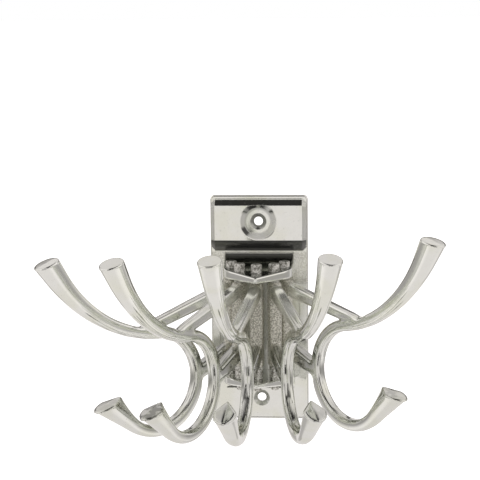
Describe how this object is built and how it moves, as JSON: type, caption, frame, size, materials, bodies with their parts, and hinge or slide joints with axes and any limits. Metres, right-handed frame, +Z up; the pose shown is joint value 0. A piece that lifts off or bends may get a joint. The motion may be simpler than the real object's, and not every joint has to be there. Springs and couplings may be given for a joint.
{
  "type": "five-arm swivel wall hook",
  "caption": "Cast wall bracket with a fan of double-prong coat hooks that swivel on upright pins held between two shelves; countersunk screw holes above and below.",
  "frame": {"origin": "on the wall, at the back of the plate, half-way between the two screw holes", "axes": "+Z up, +Y into the wall, +X to the right as seen from the front; the hooks reach out to -Y"},
  "size_m": [0.2193, 0.1625, 0.135],
  "materials": {
    "polished_casting": "hand-polished casting",
    "rough_pin": "as cast, unpolished"
  },
  "bodies": {
    "bracket": {"wall_bracket": "polished_casting"},
    "hook_1": {"swivel_hook_1": "polished_casting", "hinge_pin_1": "rough_pin"},
    "hook_2": {"swivel_hook_2": "polished_casting", "hinge_pin_2": "rough_pin"},
    "hook_3": {"swivel_hook_3": "polished_casting", "hinge_pin_3": "rough_pin"},
    "hook_4": {"swivel_hook_4": "polished_casting", "hinge_pin_4": "rough_pin"},
    "hook_5": {"swivel_hook_5": "polished_casting", "hinge_pin_5": "rough_pin"}
  },
  "joints": [
    {"name": "swivel_1", "type": "hinge", "parent": "bracket", "child": "hook_1", "pos_m": [-0.01549, -0.01772, 0], "axis": [0, 0, 1], "range_deg": [-44.7, 15]},
    {"name": "swivel_2", "type": "hinge", "parent": "bracket", "child": "hook_2", "pos_m": [-0.01001, -0.02683, 0], "axis": [0, 0, 1], "range_deg": [-15, 16.3]},
    {"name": "swivel_3", "type": "hinge", "parent": "bracket", "child": "hook_3", "pos_m": [0, -0.0304, 0], "axis": [0, 0, 1], "range_deg": [-16.3, 19.8]},
    {"name": "swivel_4", "type": "hinge", "parent": "bracket", "child": "hook_4", "pos_m": [0.01001, -0.02683, 0], "axis": [0, 0, 1], "range_deg": [-19.8, 21.9]},
    {"name": "swivel_5", "type": "hinge", "parent": "bracket", "child": "hook_5", "pos_m": [0.01549, -0.01772, 0], "axis": [0, 0, 1], "range_deg": [-13.5, 48.3]}
  ]
}
